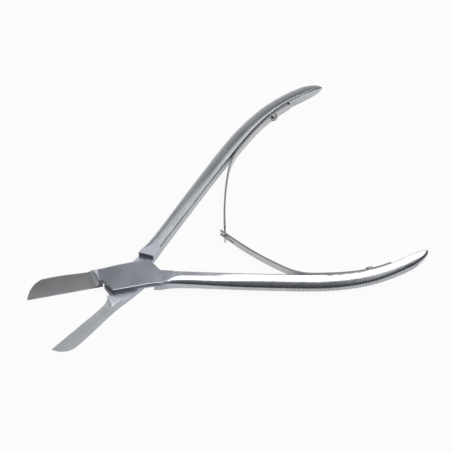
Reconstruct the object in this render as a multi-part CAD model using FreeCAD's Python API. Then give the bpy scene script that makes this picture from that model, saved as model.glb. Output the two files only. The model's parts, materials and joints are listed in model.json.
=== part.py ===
import FreeCAD, Part
import os
from math import atan2, cos, pi, radians, sin, tan

from FreeCAD import Placement, Rotation, Vector

# Bone cutting forceps: two crossed halves riveted in a lap joint, bevelled straight jaws,
# bowed D-section handles and two leaf springs that hook into each other between the handles.
# Millimetres. The origin is on the pivot axis, in the plane of the flat underside.
# +X runs along the tool towards the handles, +Z up out of the bevelled side of the jaws.
# The tool is open, with both halves turned evenly from the X axis.
# Each half is drawn as it lies when closed: X from the pivot to its handle, Y out to its own side.

# Opening and lap joint
opening_angle = 31.6
joint_thickness = 8.2
joint_half_width = 6.4
lap_gap = 0.04
rear_reach = 10.8
front_reach = 12.15
step_slant = 32.2
lower_rear_reach = 10.1
lower_front_reach = 13.3
lower_front_slant = 5.8
handle_step_gap = 0.85
jaw_step_gap = 1.2
rear_corner_radius = 2.5
lower_rear_corner_radius = 1.0
front_corner_radius = 0.6
plate_edge_round = 0.35
flank_bend_start = 4.5
flank_end = 12.0
flank_end_inset = 0.02

# Rivet
rivet_radius = 2.5
rivet_head_radius = 3.3
rivet_head_depth = 0.9
rivet_running_gap = 0.04

# Jaws
jaw_length = 50.8
jaw_width = 7.0
jaw_root_width = 5.9
jaw_root_length = 16.0
jaw_waist_end = 4.8
jaw_waist_pull = 4.0
jaw_back_root_pull = 8.0
jaw_back_tip_pull = 12.0
jaw_tip_length = 9.0
jaw_shoulder_back = 2.7
jaw_tip_shoulder = 4.2
closed_edge_gap = 0.04
edge_height = 0.15
edge_land = 0.5
sharpening_angle = 62.0
ridge_drop = 2.3
bevel_hollow = 0.3
bevel_edge_start = 16.1
bevel_back_start = 17.7
bevel_end_radius = 4.5

# Handles
handle_reach = 141.2
root_inner_offset = 0.45
root_angle = 13.1
bow_reach = 108.0
bow_height = 19.25
rise_pull = 68.0
crown_front_pull = 13.5
crown_back_pull = 12.0
handle_end_offset = 12.6
handle_end_angle = 17.0
neck_reach = 19.0
shank_reach = 52.0
belly_reach = 82.0
root_depth = 6.9
neck_depth = 6.5
shank_depth = 7.1
belly_depth = 7.2
bow_depth = 6.2
grip_end_depth = 5.8
neck_half_height = 4.0
shank_half_height = 3.5
belly_half_height = 3.5
bow_half_height = 3.7
grip_end_half_height = 4.05
root_outer_round = 0.5
neck_outer_round = 2.4
shank_outer_round = 3.05
outer_round_stretch = 1.6
inner_edge_chamfer = 0.45
nose_length = 14.0
nose_fullness = 2.4
nose_inner_share = 0.2
nose_section_shares = [0, 0.3, 0.58, 0.8, 0.93, 0.985]
handle_spans = 24

# Leaf springs
leaf_thickness = 0.85
leaf_root_width = 5.6
leaf_tip_width = 4.9
leaf_seat_gap = 0.15
leaf_tail = 11.4
leaf_departure = 84.0
leaf_seat_spans = 8
leaf_bend_radius = 30.0
leaf_bend_angle = 37.2
leaf_bow_radius = 140.0
leaf_angle = 48.7
leaf_overhang = 2.7
fork_slot_width = 2.4
fork_slot_depth = 4.4
tongue_neck_width = 1.9
tongue_neck_back = 3.8
tongue_head_start = 1.45

# Spring screws
screw_reach = 111.0
screw_head_radius = 1.95
screw_head_height = 1.35
screw_head_gap = 0.06
screw_head_bevel = 0.35
screw_slot_width = 0.55
screw_slot_depth = 0.6
screw_shank_radius = 1.0
screw_hole_depth = 3.6
leaf_hole_clearance = 0.25

# Cutting shapes run this far past what they cut
overrun = 3.0

# Sizes that follow from the ones above
mid_height = joint_thickness / 2
half_opening = opening_angle / 2
nose_start = handle_reach - nose_length
leaf_root_end = screw_reach + leaf_tail
QUARTER_PULL = 0.5523
SLACK = 0.01
X_AXIS = Vector(1, 0, 0)
Y_AXIS = Vector(0, 1, 0)
Z_AXIS = Vector(0, 0, 1)
ORIGIN = Vector(0, 0, 0)


def slanted_x(side, reach, y, slant=step_slant):
    """X where a slanted end line, square reach from the pivot, is at the given Y."""
    return side * (reach + side * y * sin(radians(slant))) / cos(radians(slant))


def end_lines(on_top):
    """Rear reach, front reach and front slant of the upper or the lower plate's ends."""
    if on_top:
        return rear_reach, front_reach, step_slant
    return lower_rear_reach, lower_front_reach, lower_front_slant


rear_inner_x = slanted_x(1, rear_reach, root_inner_offset)
rear_corner_share = cos(radians(root_angle)) / cos(radians(step_slant + root_angle))


def bezier(poles):
    curve = Part.BezierCurve()
    curve.setPoles(poles)
    return curve


def inner_curves():
    """The two curves of a handle's inner face, from the joint over the bow to the end."""
    start = Vector(rear_inner_x, root_inner_offset, 0)
    crown = Vector(bow_reach, bow_height, 0)
    end = Vector(handle_reach, handle_end_offset, 0)
    rise = Vector(cos(radians(root_angle)), sin(radians(root_angle)), 0)
    fall = Vector(cos(radians(handle_end_angle)), -sin(radians(handle_end_angle)), 0)
    first = bezier([start, start + rise * rise_pull, crown - X_AXIS * crown_front_pull, crown])
    second = bezier([crown, crown + X_AXIS * crown_back_pull, end - fall * crown_back_pull, end])
    return first, second


FIRST_INNER, SECOND_INNER = inner_curves()


def inner_face(x):
    """Point and unit tangent, towards the handle's end, of the inner face at a reach x."""
    curve = FIRST_INNER if x <= bow_reach else SECOND_INNER
    low, high = 0.0, 1.0
    while high - low > 1e-9:
        middle = (low + high) / 2
        if curve.value(middle).x < x:
            low = middle
        else:
            high = middle
    point = curve.value(low)
    tangent = Vector(*curve.tangent(low)[0])
    if x < rear_inner_x:
        point = point + tangent * ((x - rear_inner_x) / tangent.x)
    return point, tangent


def smooth_value(x, reaches, values):
    """Value at x on a smooth curve that keeps within the values at the given reaches."""
    x = min(max(x, reaches[0]), reaches[-1])
    steps = [(d - c) / (b - a) for a, b, c, d in zip(reaches, reaches[1:], values, values[1:])]
    slopes = [0.0]
    for before, after in zip(steps, steps[1:]):
        slopes.append(2 * before * after / (before + after) if before * after > 0 else 0.0)
    slopes.append(0.0)
    i = max(k for k in range(len(steps)) if reaches[k] <= x)
    span = reaches[i + 1] - reaches[i]
    t = (x - reaches[i]) / span
    start = values[i] * (1 + 2 * t) * (1 - t) ** 2 + slopes[i] * span * t * (1 - t) ** 2
    finish = values[i + 1] * t * t * (3 - 2 * t) - slopes[i + 1] * span * t * t * (1 - t)
    return start + finish


def handle_size(x):
    """Depth, half height and rounding of the outer side of the handle at a reach x."""
    reaches = [flank_end, neck_reach, shank_reach, belly_reach, bow_reach, nose_start]
    depths = [root_depth, neck_depth, shank_depth, belly_depth, bow_depth, grip_end_depth]
    heights = [mid_height, neck_half_height, shank_half_height,
               belly_half_height, bow_half_height, grip_end_half_height]
    rounds = [root_outer_round, neck_outer_round] + [shank_outer_round] * 4
    return [smooth_value(x, reaches, values) for values in (depths, heights, rounds)]


def outline_prism(edges, bottom, top):
    """Upright solid over a closed plan outline."""
    face = Part.Face(Part.Wire(Part.__sortEdges__(edges)))
    face.translate(Vector(0, 0, bottom))
    return face.extrude(Vector(0, 0, top - bottom))


def polyline_edges(points):
    return [Part.LineSegment(a, b).toShape() for a, b in zip(points, points[1:])]


def upright_edge_at(solid, x, y):
    """The upright edge of a prism that stands nearest to a plan point."""
    upright = [e for e in solid.Edges if abs(e.tangentAt(e.FirstParameter).z) > 0.99]
    return min(upright, key=lambda e: (e.CenterOfMass.x - x) ** 2 + (e.CenterOfMass.y - y) ** 2)


def half_blank(plate_on_top):
    """Jaw and lap joint of one half at full thickness, before its bevel and its step."""
    edge_y = -closed_edge_gap / 2
    rear, reach, slant = end_lines(plate_on_top)
    rear_outer = Vector(slanted_x(1, rear, -joint_half_width), -joint_half_width, 0)
    rear_inner = inner_face(rear_inner_x - (rear_reach - rear) * rear_corner_share)[0]
    front_outer = Vector(slanted_x(-1, reach, joint_half_width, slant), joint_half_width, 0)
    front_inner = Vector(slanted_x(-1, reach, edge_y, slant), edge_y, 0)
    web_inner, along = inner_face(neck_reach)
    web_outer = web_inner + Y_AXIS * (neck_depth / 2)
    flank_start = Vector(flank_bend_start, joint_half_width, 0)
    root_outer, root_along = inner_face(flank_end)
    root_outer = root_outer + Y_AXIS * (root_depth + flank_end_inset)
    flank_pull = (flank_end - flank_bend_start) / 3
    tip = Vector(-jaw_length, edge_y, 0)
    tip_start = Vector(jaw_tip_length - jaw_length, -jaw_width, 0)
    tip_middle = Vector(jaw_shoulder_back - jaw_length, -jaw_tip_shoulder, 0)
    root_back = Vector(-jaw_root_length, -jaw_root_width, 0)
    joint_start = Vector(-jaw_waist_end, -joint_half_width, 0)
    flank = bezier([flank_start, flank_start + X_AXIS * flank_pull,
                    root_outer - root_along * flank_pull, root_outer])
    back = bezier([tip_start, tip_start + X_AXIS * jaw_back_tip_pull,
                   root_back - X_AXIS * jaw_back_root_pull, root_back])
    waist = bezier([root_back, root_back + X_AXIS * jaw_waist_pull,
                    joint_start - X_AXIS * jaw_waist_pull, joint_start])
    edges = polyline_edges([joint_start, rear_outer, rear_inner, web_inner, web_outer, root_outer])
    edges += [flank.toShape()]
    edges += polyline_edges([flank_start, front_outer, front_inner, tip])
    edges += [Part.Arc(tip, tip_middle, tip_start).toShape(), back.toShape(), waist.toShape()]
    blank = outline_prism(edges, 0, joint_thickness)
    rear_radius = rear_corner_radius if plate_on_top else lower_rear_corner_radius
    blank = blank.makeFillet(rear_radius, [upright_edge_at(blank, rear_inner.x, rear_inner.y)])
    blank = blank.makeFillet(front_corner_radius, [upright_edge_at(blank, front_inner.x, front_inner.y)])
    return round_plate_edges(blank)


def round_plate_edges(blank):
    """Rounds the long top and bottom edges of the joint and the back of the jaw."""
    chosen = []
    for edge in blank.Edges:
        middle = edge.valueAt((edge.FirstParameter + edge.LastParameter) / 2)
        level = abs(middle.z - mid_height) > mid_height - SLACK
        flat = abs(edge.tangentAt(edge.FirstParameter).z) < SLACK
        outer_side = middle.y > joint_half_width - SLACK and middle.x < flank_end
        back_side = middle.y < -0.5 * jaw_root_width and middle.x < joint_half_width
        if level and flat and (outer_side or back_side):
            chosen.append(edge)
    return blank.makeFillet(plate_edge_round, chosen)


def bevel_section(x):
    """Closed section of the bevel cutter at a reach x: hollow below, open above."""
    foot = Vector(x, -closed_edge_gap / 2, edge_height + edge_land)
    taper = (-x - bevel_back_start) / (jaw_length - jaw_tip_length - bevel_back_start)
    ridge = Vector(x, -jaw_width, joint_thickness - ridge_drop * taper)
    slope = (ridge - foot).normalize()
    past = ridge + slope * overrun
    middle = (foot + past) / 2 + Vector(0, -slope.z, slope.y) * bevel_hollow
    roof = joint_thickness * 2
    points = [foot, Vector(x, overrun, foot.z), Vector(x, overrun, roof), Vector(x, past.y, roof), past]
    edges = polyline_edges(points) + [Part.Arc(past, middle, foot).toShape()]
    return Part.Wire(edges)


def bevel_cutter():
    """Space ground away above the hollow bevel, with the wheel's run-out at the joint."""
    sections = [bevel_section(x) for x in (-jaw_length - overrun, -0.5 * bevel_edge_start)]
    space = Part.makeLoft(sections, True, True)
    start = Vector(-bevel_edge_start, 0, 0)
    back = Vector(-bevel_back_start, -jaw_width, 0)
    along = (back - start).normalize()
    near, far = start - along * jaw_width, back + along * jaw_width
    far_left = Vector(-jaw_length - 2 * overrun, far.y, 0)
    near_left = Vector(-jaw_length - 2 * overrun, near.y, 0)
    region = outline_prism(polyline_edges([near, far, far_left, near_left, near]), 0, joint_thickness * 3)
    space = space.common(region)
    foot_edges = [e for e in space.Edges if is_run_out_foot(e, start, along)]
    return space.makeFillet(bevel_end_radius, foot_edges)


def is_run_out_foot(edge, start, along):
    """True for the curved edge where the bevel meets the slanted run-out wall."""
    ends = [v.Point for v in edge.Vertexes]
    off_wall = [abs((p - start).dot(Vector(-along.y, along.x, 0))) for p in ends]
    rises = abs(ends[0].z - ends[-1].z) > edge_land and abs(ends[0].y - ends[-1].y) > edge_land
    return max(off_wall) < SLACK and rises


def sharpening_cutter():
    """Narrow steep bevel along the cutting edge."""
    sections = []
    for x in (-jaw_length - overrun, -bevel_edge_start - bevel_end_radius):
        foot = Vector(x, -closed_edge_gap / 2, edge_height)
        rise = Vector(0, -cos(radians(sharpening_angle)), sin(radians(sharpening_angle)))
        high = foot + rise * (3 * edge_land)
        points = [foot, Vector(x, overrun, edge_height), Vector(x, overrun, high.z), high, foot]
        sections.append(Part.Wire(polyline_edges(points)))
    return Part.makeLoft(sections, True, True)


def lap_recess(plate_on_top):
    """Space in one half for the other half's plate, between the two slanted shoulders."""
    rear, reach, slant = end_lines(not plate_on_top)
    wide = joint_half_width * 3
    points = [Vector(slanted_x(1, rear + handle_step_gap, -y), y, 0) for y in (-wide, wide)]
    points += [Vector(slanted_x(-1, reach + jaw_step_gap, -y, slant), y, 0) for y in (wide, -wide)]
    points.append(points[0])
    if plate_on_top:
        return outline_prism(polyline_edges(points), -overrun, mid_height + lap_gap / 2)
    return outline_prism(polyline_edges(points), mid_height - lap_gap / 2, joint_thickness + overrun)


def handle_section(x, depth, half_height, outer_round, inset=0.0):
    """Closed section of the handle: flat chamfered inner face and a rounded outer side."""
    inner = inner_face(x)[0].y + inset
    outer = inner + depth
    chamfer = min(inner_edge_chamfer, 0.3 * half_height, 0.3 * depth)
    shoulder = inner + chamfer
    round_depth = min(outer_round_stretch * outer_round, 0.9 * (outer - shoulder))
    round_height = min(outer_round, 0.94 * half_height)

    def at(y, z):
        return Vector(x, y, mid_height + z)

    def quarter(sign):
        start = at(outer - round_depth, sign * half_height)
        finish = at(outer, sign * (half_height - round_height))
        return bezier([start, start + Y_AXIS * (round_depth * QUARTER_PULL),
                       finish + Z_AXIS * (sign * round_height * QUARTER_PULL), finish]).toShape()

    low = [at(outer - round_depth, -half_height), at(shoulder, -half_height),
           at(inner, chamfer - half_height)]
    high = [Vector(p.x, p.y, 2 * mid_height - p.z) for p in reversed(low)]
    side = [at(outer, half_height - round_height), at(outer, round_height - half_height)]
    edges = polyline_edges(low + high) + polyline_edges(side) + [quarter(1), quarter(-1)]
    return Part.Wire(Part.__sortEdges__(edges))


def handle_loft():
    """Bowed handle from the joint to the start of its nose, in short straight-ruled spans."""
    step = (nose_start - flank_end) / handle_spans
    reaches = [flank_end + k * step for k in range(handle_spans + 1)]
    return Part.makeLoft([handle_section(x, *handle_size(x)) for x in reaches], True, True)


def nose_loft():
    """Rounded end of the handle, drawn in on both sides."""
    depth, half_height, outer_round = handle_size(nose_start)
    sections = []
    for share in nose_section_shares:
        fall = (1 - share ** nose_fullness) ** 0.5
        x = nose_start + share * nose_length
        inset = nose_inner_share * depth * (1 - fall)
        sections.append(handle_section(x, depth * fall, half_height * fall, outer_round * fall, inset))
    return Part.makeLoft(sections, True, False)


def rivet_solid(play):
    """Rivet with a countersunk head peened flush at both ends, grown by play at its sides."""
    shank = Part.makeCylinder(rivet_radius + play, joint_thickness)
    low = Part.makeCone(rivet_head_radius + play, rivet_radius + play, rivet_head_depth)
    high = Part.makeCone(rivet_radius + play, rivet_head_radius + play, rivet_head_depth,
                         Vector(0, 0, joint_thickness - rivet_head_depth))
    return shank.fuse([low, high]).removeSplitter()


def rivet_hole(play):
    """The rivet's space, run past both faces of the joint."""
    space = rivet_solid(play)
    for foot in (-overrun, joint_thickness):
        space = space.fuse(Part.makeCylinder(rivet_head_radius + play, overrun, Vector(0, 0, foot)))
    return space


def screw_placement():
    """Places a screw drawn along +Z so that it enters the handle square to its inner face."""
    point, tangent = inner_face(screw_reach)
    inward = Vector(-tangent.y, tangent.x, 0)
    seat = Vector(point.x, point.y, mid_height)
    return Placement(seat, Rotation(Z_AXIS, inward))


def screw_hole():
    hole = Part.makeCylinder(screw_shank_radius, screw_hole_depth + overrun, Vector(0, 0, -overrun))
    hole.Placement = screw_placement()
    return hole


def spring_screw():
    """Slotted cheese-head screw through the leaf into the handle."""
    head_base = -(leaf_seat_gap + leaf_thickness + screw_head_gap)
    head_top = head_base - screw_head_height
    head = Part.makeCylinder(screw_head_radius, screw_head_height - screw_head_bevel,
                             Vector(0, 0, head_top + screw_head_bevel))
    rim = Part.makeCone(screw_head_radius - screw_head_bevel, screw_head_radius, screw_head_bevel,
                        Vector(0, 0, head_top))
    slot = Part.makeBox(3 * screw_head_radius, screw_slot_width, screw_slot_depth,
                        Vector(-1.5 * screw_head_radius, -screw_slot_width / 2, head_top))
    shank = Part.makeCylinder(screw_shank_radius, screw_hole_depth - head_base, Vector(0, 0, head_base))
    screw = head.fuse([rim, shank]).cut(slot).removeSplitter()
    screw.Placement = screw_placement()
    return screw


def forceps_half(plate_on_top):
    """One half: jaw, lap plate and handle forged in one piece."""
    half = half_blank(plate_on_top).cut([bevel_cutter(), sharpening_cutter()])
    half = half.fuse([handle_loft(), nose_loft()])
    play = 0 if plate_on_top else rivet_running_gap
    return half.cut([lap_recess(plate_on_top), rivet_hole(play), screw_hole()])


def right_of(heading):
    """Unit vector to the right of a heading in plan."""
    return Vector(sin(heading), -cos(heading), 0)


def leaf_path():
    """Start, headings and centres of the leaf's two arcs, its straight run and the crossing point."""
    point, tangent = inner_face(leaf_departure)
    start = point + Vector(tangent.y, -tangent.x, 0) * (leaf_seat_gap + leaf_thickness / 2)
    headings = [pi + atan2(tangent.y, tangent.x), pi + radians(leaf_bend_angle), pi + radians(leaf_angle)]
    bend_centre = start - right_of(headings[0]) * leaf_bend_radius
    bow_centre = bend_centre - right_of(headings[1]) * (leaf_bow_radius - leaf_bend_radius)
    end = bow_centre + right_of(headings[2]) * leaf_bow_radius
    run = Vector(cos(headings[2]), sin(headings[2]), 0)
    lean = tan(radians(half_opening))
    crossing = end + run * (-(end.y + end.x * lean) / (run.y + run.x * lean))
    return start, headings, [bend_centre, bow_centre], run, crossing


def leaf_side(offset):
    """One long side of the leaf in plan, offset from its centre line towards the handle."""
    start, headings, centres, run, crossing = leaf_path()
    seat = leaf_seat_gap + leaf_thickness / 2 - offset
    root = []
    for k in range(leaf_seat_spans + 1):
        point, tangent = inner_face(leaf_root_end + k / leaf_seat_spans * (leaf_departure - leaf_root_end))
        root.append(point + Vector(tangent.y, -tangent.x, 0) * seat)
    spline = Part.BSplineCurve()
    spline.interpolate(root)
    edges = [spline.toShape()]
    point = root[-1]
    arcs = zip(centres, [leaf_bend_radius + offset, leaf_bow_radius + offset], headings, headings[1:])
    for centre, radius, heading, next_heading in arcs:
        middle = centre + right_of((heading + next_heading) / 2) * radius
        end = centre + right_of(next_heading) * radius
        edges.append(Part.Arc(point, middle, end).toShape())
        point = end
    tip = crossing + run * leaf_overhang + right_of(headings[-1]) * offset
    edges.append(Part.LineSegment(point, tip).toShape())
    return edges, root[0], tip


def leaf_blank():
    """Leaf strip with a rounded root end, narrowing towards its tip."""
    near, near_root, near_tip = leaf_side(leaf_thickness / 2)
    far, far_root, far_tip = leaf_side(-leaf_thickness / 2)
    ends = [Part.LineSegment(near_root, far_root).toShape(), Part.LineSegment(near_tip, far_tip).toShape()]
    strip = outline_prism(near + far + ends, mid_height - leaf_root_width, mid_height + leaf_root_width)
    root_half = leaf_root_width / 2
    tip_half = leaf_tip_width / 2
    tip_x = min(near_tip.x, far_tip.x) - overrun
    low = Vector(leaf_root_end - root_half, -bow_height, mid_height - root_half)
    high = Vector(low.x, low.y, mid_height + root_half)
    round_end = Vector(leaf_root_end, low.y, mid_height)
    tip_low = Vector(tip_x, low.y, mid_height - tip_half)
    tip_high = Vector(tip_x, low.y, mid_height + tip_half)
    waist_low = Vector(leaf_departure, low.y, low.z)
    waist_high = Vector(leaf_departure, low.y, high.z)
    edges = [Part.Arc(low, round_end, high).toShape()]
    edges += polyline_edges([high, waist_high, tip_high, tip_low, waist_low, low])
    outline = Part.Face(Part.Wire(Part.__sortEdges__(edges))).extrude(Y_AXIS * 3 * bow_height)
    hole = Part.makeCylinder(screw_shank_radius + leaf_hole_clearance, 2 * overrun, Vector(0, 0, -overrun))
    hole.Placement = screw_placement()
    return strip.common(outline).cut(hole)


def tip_block(from_crossing, to_crossing, low, high):
    """Block across the leaf's straight run, between two distances past the crossing point."""
    run, crossing = leaf_path()[3:]
    corner = Vector(from_crossing, -overrun, low)
    block = Part.makeBox(to_crossing - from_crossing, 2 * overrun, high - low, corner)
    block.Placement = Placement(Vector(crossing.x, crossing.y, mid_height), Rotation(X_AXIS, run))
    return block


def fork_leaf():
    """Leaf whose tip is forked to take the other leaf's neck."""
    slot = tip_block(-fork_slot_depth, leaf_overhang + overrun, -fork_slot_width / 2, fork_slot_width / 2)
    run, crossing = leaf_path()[3:]
    slot_end = Part.makeCylinder(fork_slot_width / 2, 2 * overrun, Vector(0, 0, -overrun))
    foot = crossing - run * fork_slot_depth
    across = Vector(-run.y, run.x, 0)
    slot_end.Placement = Placement(Vector(foot.x, foot.y, mid_height), Rotation(Z_AXIS, across))
    return leaf_blank().cut([slot, slot_end])


def tongue_leaf():
    """Leaf whose tip is a narrow neck with a cross head behind the fork."""
    half_neck = tongue_neck_width / 2
    upper = tip_block(-tongue_neck_back, tongue_head_start, half_neck, leaf_root_width)
    lower = tip_block(-tongue_neck_back, tongue_head_start, -leaf_root_width, -half_neck)
    return leaf_blank().cut([upper, lower])


def on_left(shape):
    """Turns a shape drawn for one side to the left handle's side, open."""
    turned = shape.mirror(ORIGIN, Y_AXIS)
    turned.rotate(ORIGIN, Z_AXIS, -half_opening)
    return turned


def on_right(shape):
    """Turns a shape drawn for one side to the right handle's side, open."""
    turned = shape.copy()
    turned.rotate(ORIGIN, Z_AXIS, half_opening)
    return turned


def main():
    nodes = {
        "left_handle_and_jaw": on_left(forceps_half(True)),
        "right_handle_and_jaw": on_right(forceps_half(False)),
        "pivot_rivet": rivet_solid(0),
        "fork_leaf_spring": on_left(fork_leaf()),
        "tongue_leaf_spring": on_right(tongue_leaf()),
        "left_spring_screw": on_left(spring_screw()),
        "right_spring_screw": on_right(spring_screw()),
    }
    os.makedirs("parts", exist_ok=True)
    for name, shape in nodes.items():
        shape.exportStep("parts/" + name + ".step")
        box = shape.BoundBox
        print("%-22s solids %d valid %s volume %8.1f  x %.2f %.2f  y %.2f %.2f  z %.2f %.2f" % (
            name, len(shape.Solids), shape.isValid(), shape.Volume,
            box.XMin, box.XMax, box.YMin, box.YMax, box.ZMin, box.ZMax))


main()
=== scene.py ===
# %% [markdown]
# Bone cutting forceps in satin stainless steel, dressed for a studio picture.
# The tool is two crossed halves riveted in a lap joint. Each half carries a straight bevelled jaw and
# a long bowed handle, and two leaf springs hooked into each other push the handles apart.
# The construction is loaded first and never moved. This notebook gives the tool its finishes, the
# smooth steel skins, the file-cut grips, the springs cut where they bend, the light and the camera.

import json
from math import atan2, cos, hypot, pi, radians, sin

import bmesh
import bpy
from mathutils import Matrix, Vector


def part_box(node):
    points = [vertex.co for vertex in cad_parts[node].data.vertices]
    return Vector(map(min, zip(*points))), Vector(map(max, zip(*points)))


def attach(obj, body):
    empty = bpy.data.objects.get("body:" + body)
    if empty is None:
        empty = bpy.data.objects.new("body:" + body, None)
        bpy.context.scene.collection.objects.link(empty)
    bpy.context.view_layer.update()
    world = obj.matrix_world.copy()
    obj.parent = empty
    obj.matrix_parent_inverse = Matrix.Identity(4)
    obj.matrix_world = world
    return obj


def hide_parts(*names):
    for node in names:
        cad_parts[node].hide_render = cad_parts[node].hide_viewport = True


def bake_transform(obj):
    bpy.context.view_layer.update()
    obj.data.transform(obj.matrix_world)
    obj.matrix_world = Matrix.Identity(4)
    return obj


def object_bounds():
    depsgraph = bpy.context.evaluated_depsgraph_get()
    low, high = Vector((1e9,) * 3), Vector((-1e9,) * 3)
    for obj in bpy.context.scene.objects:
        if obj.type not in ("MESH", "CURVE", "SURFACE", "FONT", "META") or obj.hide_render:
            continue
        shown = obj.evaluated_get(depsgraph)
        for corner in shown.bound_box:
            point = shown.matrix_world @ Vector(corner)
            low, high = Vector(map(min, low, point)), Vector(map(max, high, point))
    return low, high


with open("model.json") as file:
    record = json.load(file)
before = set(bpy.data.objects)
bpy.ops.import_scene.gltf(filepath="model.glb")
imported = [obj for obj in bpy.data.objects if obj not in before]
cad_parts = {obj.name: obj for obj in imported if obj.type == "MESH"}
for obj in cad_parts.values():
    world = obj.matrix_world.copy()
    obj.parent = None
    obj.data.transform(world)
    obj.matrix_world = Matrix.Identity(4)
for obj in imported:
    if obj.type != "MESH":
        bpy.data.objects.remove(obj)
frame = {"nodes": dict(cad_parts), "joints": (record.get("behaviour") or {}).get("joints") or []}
nodes = frame["nodes"]
joints = {joint["name"]: joint for joint in frame["joints"]}
scene = bpy.context.scene


def plain_box():
    """The whole object's box as plain lists of numbers."""
    return [[float(value) for value in corner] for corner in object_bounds()]


cad_box = plain_box()
print("nodes:", sorted(nodes))
print("box of the construction:", cad_box)

# %% [markdown]
# The picture is lit and seen from the photographer's place. That place is worked out in a table frame:
# X runs to the right in the picture, Y away from the viewer and Z up. The tool lies on the table
# turned by a fixed angle, so every studio direction is turned back by that angle.
# The camera is a real perspective camera with a distance, a tilt, a roll and a focal length. Its lens
# has no shift: it stands a little to one side instead, so that the pivot falls on its own pixel.

# %% Photographer's place
MM = 0.001
image_size = 452
sensor_width = 36.0
clip_start = 10 * MM
clip_end = 20.0
camera_distance = 0.600
camera_tilt = radians(63.65)
camera_roll = radians(2.88)
pixels_per_metre = 2114.0
pivot_pixel = (133.24, 277.75)
tool_turn = radians(30.225)
mid_height = cad_box[1][2] / 2

focal_pixels = pixels_per_metre * camera_distance
to_tool = Matrix.Rotation(-tool_turn, 3, "Z")
right = Vector((1, 0, 0))
forward = Vector((0, cos(camera_tilt), -sin(camera_tilt)))
upward = right.cross(forward)
screen_right = right * cos(camera_roll) + upward * sin(camera_roll)
screen_up = upward * cos(camera_roll) - right * sin(camera_roll)
aside = (pivot_pixel[0] - image_size / 2) / pixels_per_metre
above = -(pivot_pixel[1] - image_size / 2) / pixels_per_metre
camera_place = -(forward * camera_distance + screen_right * aside + screen_up * above)
camera_place = to_tool @ camera_place + Vector((0, 0, mid_height))
camera_axes = Matrix([to_tool @ axis for axis in (screen_right, screen_up, -forward)]).transposed()

camera_data = bpy.data.cameras.new("photographer_camera")
camera_data.sensor_fit = "HORIZONTAL"
camera_data.sensor_width = sensor_width
camera_data.lens = sensor_width * focal_pixels / image_size
camera_data.clip_start = clip_start
camera_data.clip_end = clip_end
camera = bpy.data.objects.new("photographer_camera", camera_data)
camera.matrix_world = Matrix.Translation(camera_place) @ camera_axes.to_4x4()
scene.collection.objects.link(camera)
scene.camera = camera
scene.view_settings.view_transform = "Standard"
print("camera at", [round(value, 4) for value in camera_place], "lens", round(camera_data.lens, 1), "mm")

# %% [markdown]
# Every material below is a graph of small maths nodes. Written node by node, such a graph is long and
# hard to read. A small class that wraps a socket makes it read like ordinary arithmetic: adding or
# multiplying two wrapped sockets adds the Math node. Any other node comes from one method, which takes
# the node's type, its settings and its inputs. The same class also builds Geometry Nodes trees.

# %% Socket arithmetic
class Signal:
    """One output socket, with the usual operators."""

    def __init__(self, graph, socket):
        self.graph = graph
        self.socket = socket

    def math(self, operation, *others):
        inputs = {place: value for place, value in enumerate((self,) + others)}
        return self.graph.add("ShaderNodeMath", {"operation": operation}, inputs)

    def __add__(self, other):
        return self.math("ADD", other)

    def __sub__(self, other):
        return self.math("SUBTRACT", other)

    def __rsub__(self, other):
        return self.math("MULTIPLY_ADD", -1.0, other)

    def __mul__(self, other):
        return self.math("MULTIPLY", other)

    def __pow__(self, other):
        return self.math("POWER", other)

    def __neg__(self):
        return self.math("MULTIPLY", -1.0)

    __radd__ = __add__
    __rmul__ = __mul__

    def absolute(self):
        return self.math("ABSOLUTE")

    def step(self, low, high):
        """0 below low, 1 above high and a smooth rise between."""
        settings = {"interpolation_type": "SMOOTHSTEP"}
        inputs = {"Value": self, "From Min": low, "From Max": high}
        return self.graph.add("ShaderNodeMapRange", settings, inputs)


class Graph:
    """Adds nodes to a tree and links them."""

    def __init__(self, tree):
        self.tree = tree

    def node(self, kind, settings=None, inputs=None):
        """A new node with its settings made first and its inputs then set or linked."""
        node = self.tree.nodes.new(kind)
        for name, value in (settings or {}).items():
            setattr(node, name, value)
        for name, value in (inputs or {}).items():
            self.feed(node.inputs[name], value)
        return node

    def feed(self, socket, value):
        """Links a signal or a socket to an input, or sets the input to a plain value."""
        if isinstance(value, Signal):
            self.tree.links.new(value.socket, socket)
        elif isinstance(value, bpy.types.NodeSocket):
            self.tree.links.new(value, socket)
        else:
            socket.default_value = value

    def add(self, kind, settings=None, inputs=None, output=0):
        """A new node's output as a signal."""
        return Signal(self, self.node(kind, settings, inputs).outputs[output])

    def vector(self, operation, *values, output=0):
        """Vector maths on places and directions."""
        inputs = {place: value for place, value in enumerate(values)}
        return self.add("ShaderNodeVectorMath", {"operation": operation}, inputs, output)


print("socket arithmetic ready")

# %% [markdown]
# Satin stainless steel is bright metal with a finely ground skin. A picture of brushed steel could be
# wrapped round the tool, but it would stretch along the bowed handles. Noise that is worked out from
# the place on the object needs no wrapping and stays sharp from close by. One layer alone would look
# like foil, so there are four: a fine grain drawn out in the direction of the grinding, an even blasted
# skin, the cloudiness that hand polishing leaves, and long streaks with thin stray scratches in them.

# %% Grain of the steel
unstretched = (1.0, 1.0, 1.0)
drawn_out = (0.06, 1.0, 1.0)
noise_middle = 0.5
tone_shares = {"cloud": 0.60, "fine": 0.25, "streak": 0.15}
tone_span = (0.30, 0.70)
cloud_in_roughness = 0.10
blast_in_roughness = 0.06
height_shares = {"fine": 0.55, "blast": 0.35, "scratch": 0.25}
scratch_width = 0.012


def turned_position(graph, turn, stretch):
    """Object position turned about Z and scaled along each axis, in metres."""
    place = graph.add("ShaderNodeTexCoord", output=3)
    inputs = {"Vector": place, "Rotation": (0, 0, turn), "Scale": stretch}
    return graph.add("ShaderNodeMapping", {"vector_type": "POINT"}, inputs)


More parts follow.
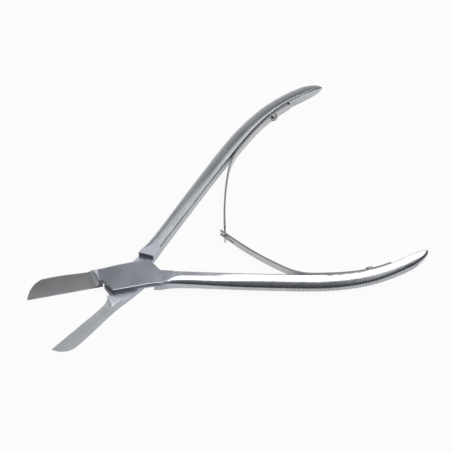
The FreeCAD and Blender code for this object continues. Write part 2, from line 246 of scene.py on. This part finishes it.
def noise(graph, place, scale, detail, rough):
    inputs = {"Vector": place, "Scale": scale, "Detail": detail, "Roughness": rough}
    return graph.add("ShaderNodeTexNoise", {"noise_dimensions": "3D"}, inputs)


def grain_layers(graph, turn):
    """The layers of the skin by name. All but the scratches are about 0.5 on average."""
    along = turned_position(graph, turn, drawn_out)
    even = turned_position(graph, 0.0, unstretched)
    layers = {
        "fine": noise(graph, along, scale=5200.0, detail=3.0, rough=0.6),
        "blast": noise(graph, even, scale=2600.0, detail=2.0, rough=0.6),
        "cloud": noise(graph, even, scale=90.0, detail=3.0, rough=0.55),
        "streak": noise(graph, along, scale=900.0, detail=2.0, rough=0.5),
    }
    layers["scratch"] = (layers["streak"] - noise_middle).absolute().step(0.0, scratch_width)
    return layers


def added_up(layers, shares):
    """Layers added up, each times its share."""
    first, *others = [layers[name] * share for name, share in shares.items()]
    return sum(others, first)


print("layers in the tone:", tone_shares, "and in the height:", height_shares)

# %% [markdown]
# A forged half isn't one even tone, and part of its tone is painted light and shade. The plates of its
# joint are ground flat, and their bluer tone is a painted reflection. Their upright walls get painted
# shade and are left dull. Past the joint the jaw is ground, and its flat faces get a painted grey of light
# and shade.
# Both the jaw and the grip have a roughness of their own.
# Several materials would show a border where they meet, so one material fades between these tones. It
# reads the distance along the half, and marks that its mesh carries on each face. The rivet's head is
# ground flush with the plate, so nothing may glint around it: edges aren't rounded there.

# %% Tones of a half
# painted reflection: the plates' bluer tone stands in for what their flat tops mirror
plate_painted_reflection = (0.54, 0.565, 0.65)
plate_reflection_share = 0.7
plate_ends = (16 * MM, 24 * MM)
# painted light and shade on the jaws' flat faces past the joint, fading from root to tip
jaw_tone_share = 0.7
jaw_starts = (15.5 * MM, 17.5 * MM)
jaw_painted_tone_reaches = (18 * MM, 50 * MM)
grip_starts = (40 * MM, 70 * MM)
# painted shade on the joint's upright walls: the step walls and the upper plate's side wall
wall_painted_shade = (0.12, 0.125, 0.14)
wall_roughness = 0.15
step_wall_shade_share = 0.7
side_wall_ends = (10 * MM, 17 * MM)
# the painted shade on the upper plate's side wall is lighter low down, at the wall's foot
pale_foot_share = 0.8
pale_foot_top = (4.8 * MM, 6.0 * MM)
pale_foot_starts = (-3 * MM, 4 * MM)
rivet_border = (3.8 * MM, 4.6 * MM)


def mixed_colour(graph, share, first, second):
    """Colour between two colours, by a share from 0 to 1."""
    node = graph.node("ShaderNodeMix", {"data_type": "RGBA"}, {0: share})
    for socket, colour in ((node.inputs[6], first), (node.inputs[7], second)):
        graph.feed(socket, colour if isinstance(colour, Signal) else (*colour, 1))
    return Signal(graph, node.outputs[2])


def marked(graph, mark):
    """A mark that a piece's mesh carries on its faces, 0 where it has none."""
    return graph.add("ShaderNodeAttribute", {"attribute_name": mark}, output=2)


def tone_half(graph, turn, gloss, half, colour, roughness):
    """A half's colour and roughness, made from the plain steel's, with painted shade, light and
    reflection.
    """
    place = graph.node("ShaderNodeSeparateXYZ", inputs={0: turned_position(graph, turn, unstretched)})
    reach = Signal(graph, place.outputs["X"])
    level = Signal(graph, place.outputs["Z"])
    past_joint = (-reach).step(*jaw_starts)
    plate = (1 - past_joint) * (1 - reach.step(*plate_ends))
    pale_foot = (1 - level.step(*pale_foot_top)) * reach.step(*pale_foot_starts)
    # painted shade on the walls, lighter at the foot of the side wall
    side_wall = marked(graph, "side_wall") * (1 - reach.step(*side_wall_ends))
    side_wall = side_wall * (1 - pale_foot * pale_foot_share)
    wall = side_wall + marked(graph, "step_wall") * step_wall_shade_share
    jaw_painted_tone = mixed_colour(graph, (-reach).step(*jaw_painted_tone_reaches), half["jaw_root"], half["jaw_tip"])
    painted_jaw_faces = past_joint * marked(graph, "ground_bevel")
    colour = mixed_colour(graph, plate * plate_reflection_share, colour, plate_painted_reflection)
    colour = mixed_colour(graph, painted_jaw_faces * jaw_tone_share, colour, jaw_painted_tone)
    colour = mixed_colour(graph, wall, colour, wall_painted_shade)
    grip = reach.step(*grip_starts)
    roughness = roughness + wall * wall_roughness
    roughness = roughness + past_joint * (half["jaw_gloss"] - gloss) + grip * (half["grip_gloss"] - gloss)
    return colour, roughness


def away_from_rivet(graph, turn):
    """0 on the rivet's head and around it, 1 further out."""
    flat_place = turned_position(graph, turn, (1.0, 1.0, 0.0))
    return graph.vector("LENGTH", flat_place, output=1).step(*rivet_border)


print("plate, jaw and grip fade at", plate_ends, jaw_starts, grip_starts)

# %% [markdown]
# One function makes every steel of the tool, so that they differ only in two tones between which the
# polish varies, the roughness, the depth of the grain and the direction of grinding.
# The edges of the real tool are broken with a stone and catch the light as thin bright lines. Such a
# rounding is thinner than a pixel, so it isn't modelled: a Bevel node turns the normals next to an edge.

# %% Steels of the tool
MICRON = 1e-6
# painted shade on the leaves' sheared edges
edge_painted_shade = (0.28, 0.285, 0.30)
edge_samples = 4
bump_strength = 0.5
half_opening = radians(-joints["main_pivot"]["range_deg"][0]) / 2


def steel(name, light, dark, gloss, depth, edge_radius, turn=0.0, half=None):
    """A ground steel with its two tones, roughness, depth of grain, edge rounding and grinding direction.

    With half, which holds the colours and roughness of a jaw and the roughness of a grip, it is the
    steel of a forged half."""
    material = bpy.data.materials.new(name)
    material.use_nodes = True
    graph = Graph(material.node_tree)
    shader = material.node_tree.nodes["Principled BSDF"]
    layers = grain_layers(graph, turn)
    colour = mixed_colour(graph, added_up(layers, tone_shares).step(*tone_span), dark, light)
    roughness = gloss + (layers["cloud"] - noise_middle) * cloud_in_roughness
    roughness = roughness + (layers["blast"] - noise_middle) * blast_in_roughness
    # a half's steel also gets its painted shade, light and reflection from tone_half
    if half:
        colour, roughness = tone_half(graph, turn, gloss, half, colour, roughness)
        edge_radius = away_from_rivet(graph, turn) * edge_radius
    # painted shade on the leaves' sheared edges
    colour = mixed_colour(graph, marked(graph, "shaded_sheared_edge"), colour, edge_painted_shade)
    rounded = graph.add("ShaderNodeBevel", {"samples": edge_samples}, {"Radius": edge_radius})
    bump = {"Height": added_up(layers, height_shares), "Distance": depth, "Strength": bump_strength,
            "Normal": rounded}
    graph.feed(shader.inputs["Base Color"], colour)
    graph.feed(shader.inputs["Metallic"], 1.0)
    graph.feed(shader.inputs["Roughness"], roughness)
    graph.feed(shader.inputs["Normal"], graph.add("ShaderNodeBump", inputs=bump))
    return material


# the jaws' colours are painted light and shade: the left jaw's run from light at the root to dark at the
# tip, the right jaw's stay pale
left_half = {"jaw_gloss": 0.56, "jaw_root": (0.78, 0.78, 0.785), "jaw_tip": (0.44, 0.44, 0.445),
             "grip_gloss": 0.18}
right_half = {"jaw_gloss": 0.44, "jaw_root": (0.86, 0.89, 0.92), "jaw_tip": (0.84, 0.87, 0.90),
              "grip_gloss": 0.25}
half_tones = {"light": (0.645, 0.67, 0.705), "dark": (0.515, 0.54, 0.58)}
left_steel = steel("satin_steel_left", **half_tones, gloss=0.18, depth=0.8 * MICRON,
                   edge_radius=0.34 * MM, turn=half_opening, half=left_half)
right_steel = steel("satin_steel_right", **half_tones, gloss=0.34, depth=0.5 * MICRON,
                    edge_radius=0.22 * MM, turn=-half_opening, half=right_half)
spring_steel = steel("spring_steel", light=(0.68, 0.68, 0.69), dark=(0.60, 0.60, 0.62),
                     gloss=0.22, depth=0.2 * MICRON, edge_radius=0.05 * MM)
# the ridges' darker steel is painted shade, for the shadow between the ridges
ridge_painted_shade_steel = steel("ridge_painted_shade_steel", light=(0.46, 0.47, 0.49), dark=(0.34, 0.35, 0.37),
                    gloss=0.34, depth=1.0 * MICRON, edge_radius=0.05 * MM)
screw_steel = steel("dull_steel", light=(0.60, 0.60, 0.62), dark=(0.44, 0.44, 0.46),
                    gloss=0.30, depth=2.0 * MICRON, edge_radius=0.12 * MM)
print("materials:", [material.name for material in bpy.data.materials])

# %% [markdown]
# The construction's meshes are loose triangles, and they are never changed. The two halves need marks
# on their faces and a slight lean of their normals, so copies of them are merged into closed skins.
# Normals worked out anew from the triangles would leave faint stripes on the curved sides. The skins
# keep the construction's exact normals instead, so that the light runs smoothly over each curved side
# and still breaks at every real edge. A skin stands exactly where its solid stands.

# %% Closed copies of a construction mesh
crease_angle = radians(28)
merge_distance = 2 * MICRON


def merged_copy(node_name, piece_name):
    """A closed copy of a construction node, as a new object at the origin."""
    mesh = nodes[node_name].data.copy()
    mesh.name = piece_name
    mesh.materials.clear()
    normals = [tuple(corner.vector) for corner in mesh.corner_normals]
    mesh.attributes.remove(mesh.attributes["custom_normal"])
    work = bmesh.new()
    work.from_mesh(mesh)
    exact = work.loops.layers.float_vector.new("exact_normal")
    for face in work.faces:
        for loop in face.loops:
            loop[exact] = normals[loop.index]
    bmesh.ops.remove_doubles(work, verts=work.verts, dist=merge_distance)
    for edge in work.edges:
        edge.smooth = edge.is_manifold and edge.calc_face_angle() < crease_angle
    for face in work.faces:
        face.smooth = True
    work.to_mesh(mesh)
    work.free()
    piece = bpy.data.objects.new(piece_name, mesh)
    scene.collection.objects.link(piece)
    return piece


def keep_exact_normals(mesh):
    """Gives a merged mesh the construction's own normals back."""
    normals = [tuple(corner.vector) for corner in mesh.attributes["exact_normal"].data]
    mesh.normals_split_custom_set(normals)
    mesh.attributes.remove(mesh.attributes["exact_normal"])


def open_edges(mesh):
    """How many edges of a mesh don't join exactly two faces."""
    uses = [0] * len(mesh.edges)
    for loop in mesh.loops:
        uses[loop.edge_index] += 1
    return sum(count != 2 for count in uses)


print("skins merge points closer than", merge_distance, "m")

# %% [markdown]
# The handles' flat tops are polished by hand, which crowns them a little away from the joint. The crown
# is too low to change the shape, but it decides how wide the bright band on a handle is. So only the
# skin's normals lean outwards there, more and more along the handle, and the mesh stays as it is.

# %% Crowned tops of the handles
crown_lean = radians(11)
crown_inner_share = 0.08
crown_start = 30 * MM
crown_full = 62 * MM
crown_end = radians(40)
flat_tilt = radians(1)
nose_reach = 131 * MM
nose_top = 0.1
nose_share = 0.45


def smooth_rise(value, low, high):
    """0 below low, 1 above high and a smooth rise between."""
    share = min(1.0, max(0.0, (value - low) / (high - low)))
    return share * share * (3 - 2 * share)


def crown_handle_top(mesh, to_half, way):
    """Leans the normals of a handle's top towards its outer side, more and more away from the joint.

    The lean grows across the flat, from its inner border to its outer border. Near the end of the handle
    the top keeps its level longer, so the normals lean less towards the end there."""
    tilts = [atan2((to_half @ corner.vector).y * way, corner.vector.z) for corner in mesh.corner_normals]
    rounded = set()
    for face in mesh.polygons:
        face_tilts = [tilts[k] for k in face.loop_indices]
        if max(face_tilts) > flat_tilt and min(face_tilts) < crown_end:
            rounded.update(face.vertices)
    normals = []
    for corner, loop, tilt in zip(mesh.corner_normals, mesh.loops, tilts):
        normal = to_half @ corner.vector
        reach = (to_half @ mesh.vertices[loop.vertex_index].co).x
        if reach > nose_reach and normal.z > nose_top:
            normal.x *= nose_share
            normal.normalize()
        if reach > crown_start and -flat_tilt < tilt < crown_end:
            lean = crown_lean * (1.0 if loop.vertex_index in rounded else crown_inner_share)
            lean *= smooth_rise(reach, crown_start, crown_full)
            tilt += lean * (1 - max(0.0, tilt) / crown_end)
            size = hypot(normal.y, normal.z)
            normal = Vector((normal.x, way * sin(tilt) * size, cos(tilt) * size))
        normals.append(tuple(to_half.transposed() @ normal))
    mesh.normals_split_custom_set(normals)


print("crown of", round(crown_lean, 3), "radians from", crown_start, "to", crown_full, "m")

# %% [markdown]
# The steel of a half paints its shade and tones by three marks that only the mesh can tell: where the
# joint's walls stand, which side belongs to the upper plate, and what the grinding wheel made flat on a
# jaw. Each is a number on the faces, found from where a face lies and which way it points. Colours painted
# into a texture would do the same, but such numbers follow the construction when a size changes.

# %% Marks on the faces of a half
wall_lean = 0.35
along_share = 0.6
ground_share = 0.5
step_wall_reach = 15.5 * MM
side_wall_reach = 22 * MM


def mark_faces(mesh, mark, applies):
    """Writes 1 on the faces that a mark applies to and 0 on the others."""
    values = mesh.attributes.new(mark, "FLOAT", "FACE").data
    for face, value in zip(mesh.polygons, values):
        value.value = float(applies(face))


def mark_half(mesh, to_half, plate_on_top):
    """Marks the joint's step walls, the upper plate's side walls and all that faces up or down."""

    def is_wall(face, reach):
        return abs(face.normal.z) < wall_lean and face.center.xy.length < reach

    def faces_along(face):
        return abs((to_half @ face.normal).x) > along_share

    def is_plate_side(face):
        return plate_on_top and is_wall(face, side_wall_reach) and not faces_along(face)

    mark_faces(mesh, "step_wall", lambda face: is_wall(face, step_wall_reach) and faces_along(face))
    mark_faces(mesh, "side_wall", is_plate_side)
    mark_faces(mesh, "ground_bevel", lambda face: abs(face.normal.z) > ground_share)


print("walls of the joint lie within", step_wall_reach, "and", side_wall_reach, "m of the pivot")

# %% [markdown]
# Both halves now get their skins, in one loop, because the two differ only in their side and their
# steel. Each skin rides with its half, stands for the construction's own piece and names the finish that
# it takes.

# %% Skins of the two halves
skins = {}
for side, way, material in (("left", -1, left_steel), ("right", 1, right_steel)):
    node_name = side + "_handle_and_jaw"
    skin = merged_copy(node_name, side + "_half_steel")
    skins[side] = skin
    keep_exact_normals(skin.data)
    to_half = Matrix.Rotation(-way * half_opening, 3, "Z")
    crown_handle_top(skin.data, to_half, way)
    mark_half(skin.data, to_half, side == "left")
    skin.data.materials.append(material)
    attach(skin, side + "_half")
    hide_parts(node_name)
    print(skin.name, "faces", len(skin.data.polygons), "open edges", open_edges(skin.data))

# %% [markdown]
# The outer side of each grip is cut with a fine row of ridges, so that a wet glove doesn't slip. A bump
# in the material would vanish from the outline, and a hundred ridges placed by hand would not follow
# another handle. One Geometry Nodes tree makes them for both grips. An arc through three places beside
# the grip is divided by the pitch, and a small arc stands across it at every division. Each point of
# those arcs is drawn to the nearest place on the skin, raised by the ridge's height and let down again at
# both ends. A four-sided rod then follows each arc.

# %% Tree that cuts the ridges
ridge_sizes = {"Pitch": 1.25 * MM, "Ridge Height": 0.20 * MM, "Ridge Radius": 0.38 * MM,
               "Arc Radius": 6.5 * MM, "Arc Sweep": radians(88)}
row_points = 96
ridge_points = 9
rod_sides = 4
end_power = 6
end_sink = 1.2


def row_of_arcs(shapes, given):
    """Small arcs that stand across the row, one at each division, as one curve object."""
    row = shapes.add("GeometryNodeCurveArc", {"mode": "POINTS"},
                     {"Resolution": row_points, "Start": given["Start"], "Middle": given["Middle"],
                      "End": given["End"]})
    stations = shapes.node("GeometryNodeCurveToPoints", {"mode": "LENGTH"},
                           {"Curve": row, "Length": given["Pitch"]})
    sweep = given["Arc Sweep"]
    arc = shapes.add("GeometryNodeCurveArc", {"mode": "RADIUS"},
                     {"Resolution": ridge_points, "Radius": given["Arc Radius"],
                      "Start Angle": sweep * -0.5, "Sweep Angle": sweep})
    along = shapes.add("FunctionNodeAlignRotationToVector", {"axis": "Z"},
                       {"Vector": stations.outputs["Tangent"]})
    across = shapes.add("FunctionNodeAlignRotationToVector", {"axis": "X", "pivot_axis": "Z"},
                        {"Rotation": along, "Vector": given["Outward"]})
    arcs = shapes.add("GeometryNodeInstanceOnPoints",
                      inputs={"Points": stations.outputs["Points"], "Instance": arc, "Rotation": across})
    return shapes.add("GeometryNodeRealizeInstances", inputs={"Geometry": arcs})


def laid_on_skin(shapes, given, arcs):
    """The arcs drawn to the skin, raised in their middle and sunk at both ends."""
    skin = shapes.node("GeometryNodeProximity", {"target_element": "FACES"}, {0: given["Skin"]})
    nearest = skin.outputs["Position"]
    outward = shapes.vector("SUBTRACT", shapes.add("GeometryNodeInputPosition"), nearest)
    outward = shapes.vector("NORMALIZE", outward)
    factor = shapes.add("GeometryNodeSplineParameter")
    raised = 1 - (factor * 2 - 1).absolute() ** end_power
    radius = given["Ridge Radius"]
    offset = raised * (given["Ridge Height"] + radius * (end_sink - 1)) - radius * end_sink
    lifted = shapes.vector("SCALE", outward)
    shapes.feed(lifted.socket.node.inputs["Scale"], offset)
    place = shapes.vector("ADD", nearest, lifted)
    return shapes.add("GeometryNodeSetPosition", inputs={"Geometry": arcs, "Position": place})


def ridge_tree():
    """The tree that cuts a row of ridges along a grip, with its named inputs."""
    tree = bpy.data.node_groups.new("grip_ridges", "GeometryNodeTree")
    face = tree.interface
    face.new_socket("Skin", in_out="INPUT", socket_type="NodeSocketGeometry")
    for name in ("Start", "Middle", "End", "Outward"):
        face.new_socket(name, in_out="INPUT", socket_type="NodeSocketVector")
    for name in ridge_sizes:
        face.new_socket(name, in_out="INPUT", socket_type="NodeSocketFloat")
    face.new_socket("Material", in_out="INPUT", socket_type="NodeSocketMaterial")
    face.new_socket("Ridges", in_out="OUTPUT", socket_type="NodeSocketGeometry")
    shapes = Graph(tree)
    given = {socket.name: Signal(shapes, socket) for socket in shapes.node("NodeGroupInput").outputs}
    arcs = laid_on_skin(shapes, given, row_of_arcs(shapes, given))
    rod = shapes.add("GeometryNodeCurvePrimitiveCircle", {"mode": "RADIUS"},
                     {"Resolution": rod_sides, "Radius": given["Ridge Radius"]})
    ridges = shapes.add("GeometryNodeCurveToMesh",
                        inputs={"Curve": arcs, "Profile Curve": rod, "Fill Caps": True})
    ridges = shapes.add("GeometryNodeRealizeInstances", inputs={"Geometry": ridges})
    ridges = shapes.add("GeometryNodeSetMaterial",
                        inputs={"Geometry": ridges, "Material": given["Material"]})
    shapes.node("NodeGroupOutput", inputs={"Ridges": ridges})
    return tree


def set_inputs(modifier, values):
    """Sets a modifier's named inputs by the identifiers of their sockets."""
    for item in modifier.node_group.interface.items_tree:
        if item.in_out == "INPUT" and item.name in values:
            modifier[item.identifier] = values[item.name]


ridges_of_grips = ridge_tree()
print("tree", ridges_of_grips.name, "has", len(ridges_of_grips.nodes), "nodes")

# %% [markdown]
# A row needs three places on its grip. Written down as numbers, they would miss the grip when its bow
# changes, so they are found on the skin itself: a ray comes in from the outer side at three distances
# from the pivot. The tree's result is then turned into a plain mesh, one for each half.

# %% Ridges of both grips
grip_reaches = (71 * MM, 104 * MM, 134 * MM)
grip_inset = 3.0 * MM
beside_grip = 80 * MM

for side, way in (("left", -1), ("right", 1)):
    to_part = Matrix.Rotation(way * half_opening, 3, "Z")
    outward = to_part @ Vector((0, way, 0))
    places = []
    for reach in grip_reaches:
        start = to_part @ Vector((reach, way * beside_grip, mid_height))
        found, place, _, _ = skins[side].ray_cast(start, -outward)
        assert found, reach
        places.append(place - outward * grip_inset)
    worker = bpy.data.objects.new(side + "_grip_worker", skins[side].data.copy())
    scene.collection.objects.link(worker)
    modifier = worker.modifiers.new("ridges", "NODES")
    modifier.node_group = ridges_of_grips
    row = dict(zip(("Start", "Middle", "End"), places))
    set_inputs(modifier, {**row, **ridge_sizes, "Outward": outward, "Material": ridge_painted_shade_steel})
    made = worker.evaluated_get(bpy.context.evaluated_depsgraph_get())
    mesh = bpy.data.meshes.new_from_object(made)
    mesh.name = side + "_grip_ridges"
    bpy.data.objects.remove(worker)
    ridges = bpy.data.objects.new(side + "_grip_ridges", mesh)
    scene.collection.objects.link(ridges)
    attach(ridges, side + "_half")
    print(ridges.name, "faces", len(mesh.polygons), "open edges", open_edges(mesh))

# %% [markdown]
# The rivet and the two spring screws are already the right shape, so they keep their construction
# meshes and only get their steel. The rivet's head is ground flush with the upper plate, in one pass
# with it, and has the same finish. The screws are turned, and left duller than what is ground.

# %% Rivet and screws
for node_name, material in (("pivot_rivet", left_steel), ("left_spring_screw", screw_steel),
                            ("right_spring_screw", screw_steel)):
    for slot in nodes[node_name].material_slots:
        slot.material = material
    print(node_name, "has", [slot.material.name for slot in nodes[node_name].material_slots])

# %% [markdown]
# Each leaf spring is screwed to its handle and bends where it leaves it, while its tip stays hooked in
# the other leaf. A rigid piece would tear away from the screw when the handles close. A copy of the
# leaf is therefore cut across at short steps, between the handle and the free run, where it bends.
# The strip's sheared edges get painted shade, so they are marked.

# %% Leaf springs cut where they bend
bend_reach = 7.0 * MM
cut_step = 0.5 * MM
cut_margin = 2 * MM
cut_tolerance = 1e-7
sheared_share = 0.7


def cut_across(piece, start, end):
    """Cuts a mesh with planes square to the line from start to end, and a little past both."""
    work = bmesh.new()
    work.from_mesh(piece.data)
    along = (end - start).normalized()
    count = int(((end - start).length + 2 * cut_margin) / cut_step)
    for k in range(count + 1):
        place = start + along * (k * cut_step - cut_margin)
        everything = list(work.verts) + list(work.edges) + list(work.faces)
        bmesh.ops.bisect_plane(work, geom=everything, plane_co=place, plane_no=along, dist=cut_tolerance)
    work.to_mesh(piece.data)
    work.free()


for side, leaf in (("left", "fork"), ("right", "tongue")):
    node_name = leaf + "_leaf_spring"
    strip = merged_copy(node_name, leaf + "_leaf_steel")
    hinge = Vector(joints[leaf + "_flex"]["pos_m"])
    low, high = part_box(side + "_spring_screw")
    screw = (low + high) / 2
    low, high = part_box(node_name)
    tip = Vector((low.x, 0.0, hinge.z))
    start = hinge + (screw - hinge).normalized() * bend_reach
    end = hinge + (tip - hinge).normalized() * bend_reach
    cut_across(strip, start, end)
    keep_exact_normals(strip.data)
    # painted shade goes on the strip's sheared edges, which face up and down
    mark_faces(strip.data, "shaded_sheared_edge", lambda face: abs(face.normal.z) > sheared_share)
    strip.data.materials.append(spring_steel)
    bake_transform(strip)
    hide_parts(node_name)
    print(strip.name, "faces", len(strip.data.polygons), "open edges", open_edges(strip.data))

# %% [markdown]
# A catalogue picture has a white ground with the tool's soft shadow on it. A white floor under bright
# lamps would do that, but the light would wash out the steel. So the table is a pale grey floor under
# plain light, and for the camera most of it is mixed with white. Where the steel mirrors the table, a
# smaller share of white is mixed in.

# %% Table
table_gap = 0.02 * MM
table_half_width = 3.0
table_grey = (0.80, 0.80, 0.80, 1)
table_white_share = 0.93
table_mirror_share = 0.45

table_height = cad_box[0][2] - table_gap
table_mesh = bpy.data.meshes.new("pale_table")
corners = [(-1, -1), (1, -1), (1, 1), (-1, 1)]
table_mesh.from_pydata([(x * table_half_width, y * table_half_width, table_height) for x, y in corners],
                       [], [(0, 1, 2, 3)])
table = bpy.data.objects.new("pale_table", table_mesh)
scene.collection.objects.link(table)
table_material = bpy.data.materials.new("pale_table")
table_material.use_nodes = True
table_material.node_tree.nodes.clear()
graph = Graph(table_material.node_tree)
matt = graph.add("ShaderNodeBsdfDiffuse", inputs={"Color": table_grey})
white = graph.add("ShaderNodeEmission", inputs={"Color": (1, 1, 1, 1), "Strength": 1.0})
ray = graph.node("ShaderNodeLightPath")
seen = Signal(graph, ray.outputs["Is Camera Ray"])
mirrored = Signal(graph, ray.outputs["Is Glossy Ray"])
white_share = seen * table_white_share + mirrored * table_mirror_share
surface = graph.add("ShaderNodeMixShader", inputs={0: white_share, 1: matt, 2: white})
graph.node("ShaderNodeOutputMaterial", inputs={"Surface": surface})
table_mesh.materials.append(table_material)
print("table at", round(table_height, 5))

# %% [markdown]
# Polished steel has hardly a colour of its own: it shows what stands around it. In an even white room
# the handles would be flat and pale. The room here is dim, with a paler wall low behind the table and a
# bright area high up in front, on the right. Each handle mirrors them as bands that run along it, and
# the dim part between them is the dark band. For the camera itself the room is white.

# %% Room that the steel mirrors
room_dark = 0.08
back_wall = 0.45
back_spread = (0.0, 0.6)
back_top = (0.35, 0.65)
front_high = 1.0
front_spread = (0.05, 0.30)
front_heights = (0.40, 0.95)
front_power = 1.5
left_share = 0.12
right_spread = (0.20, 0.50)
toward_back = to_tool @ Vector((0, 1, 0))
toward_right = to_tool @ right

world = bpy.data.worlds.new("studio_room")
world.use_nodes = True
scene.world = world
world.node_tree.nodes.clear()
graph = Graph(world.node_tree)
direction = graph.add("ShaderNodeTexCoord")
backward = graph.vector("DOT_PRODUCT", direction, tuple(toward_back), output=1)
rightward = graph.vector("DOT_PRODUCT", direction, tuple(toward_right), output=1)
height = graph.add("ShaderNodeSeparateXYZ", inputs={0: direction}, output=2)
low_back = backward.step(*back_spread) * (1 - height.step(*back_top))
beside = left_share + rightward.step(*right_spread) * (1 - left_share)
front_glow = (-backward).step(*front_spread) * beside * height.step(*front_heights) ** front_power
brightness = low_back * (back_wall - room_dark) + front_glow * (front_high - room_dark) + room_dark
ray = graph.node("ShaderNodeLightPath")
seen = Signal(graph, ray.outputs["Is Camera Ray"])
brightness = seen + (1 - seen) * brightness
background = graph.add("ShaderNodeBackground", inputs={"Color": (1, 1, 1, 1), "Strength": brightness})
graph.node("ShaderNodeOutputWorld", inputs={"Surface": background})
print("room", room_dark, "back wall", back_wall, "front, high up", front_high)

# %% [markdown]
# The lamps give the tool its plain light and its soft shadow, and the steel mirrors them too. Two large
# soft boxes are enough. One hangs overhead, a little to the right, and the lower handle mirrors it as a
# white band. The other stands behind the table and lights the sides that face away from the viewer.

# %% Soft boxes
aim = Vector((0.045, 0, 0))


def soft_box(name, lean, sideways, distance, width, depth, radiance):
    """A lit panel that faces the tool.

    It starts overhead. A negative lean moves it to the back, and sideways moves it to the right."""
    data = bpy.data.lights.new(name, "AREA")
    data.shape = "RECTANGLE"
    data.size = width
    data.size_y = depth
    data.energy = radiance * pi * width * depth
    lamp = bpy.data.objects.new(name, data)
    axes = Matrix.Rotation(-tool_turn, 4, "Z") @ Matrix.Rotation(lean, 4, "X")
    axes = axes @ Matrix.Rotation(sideways, 4, "Y")
    toward_lamp = axes.to_3x3() @ Vector((0, 0, 1))
    lamp.matrix_world = Matrix.Translation(aim + toward_lamp * distance) @ axes
    scene.collection.objects.link(lamp)
    print(name, "of", width, "by", depth, "m, power", round(data.energy, 2), "W")


soft_box("overhead_soft_box", lean=radians(-1), sideways=radians(20), distance=0.75,
         width=0.85, depth=0.51, radiance=2.3)
soft_box("back_soft_box", lean=radians(-37), sideways=radians(5), distance=0.80,
         width=1.2, depth=0.33, radiance=0.85)
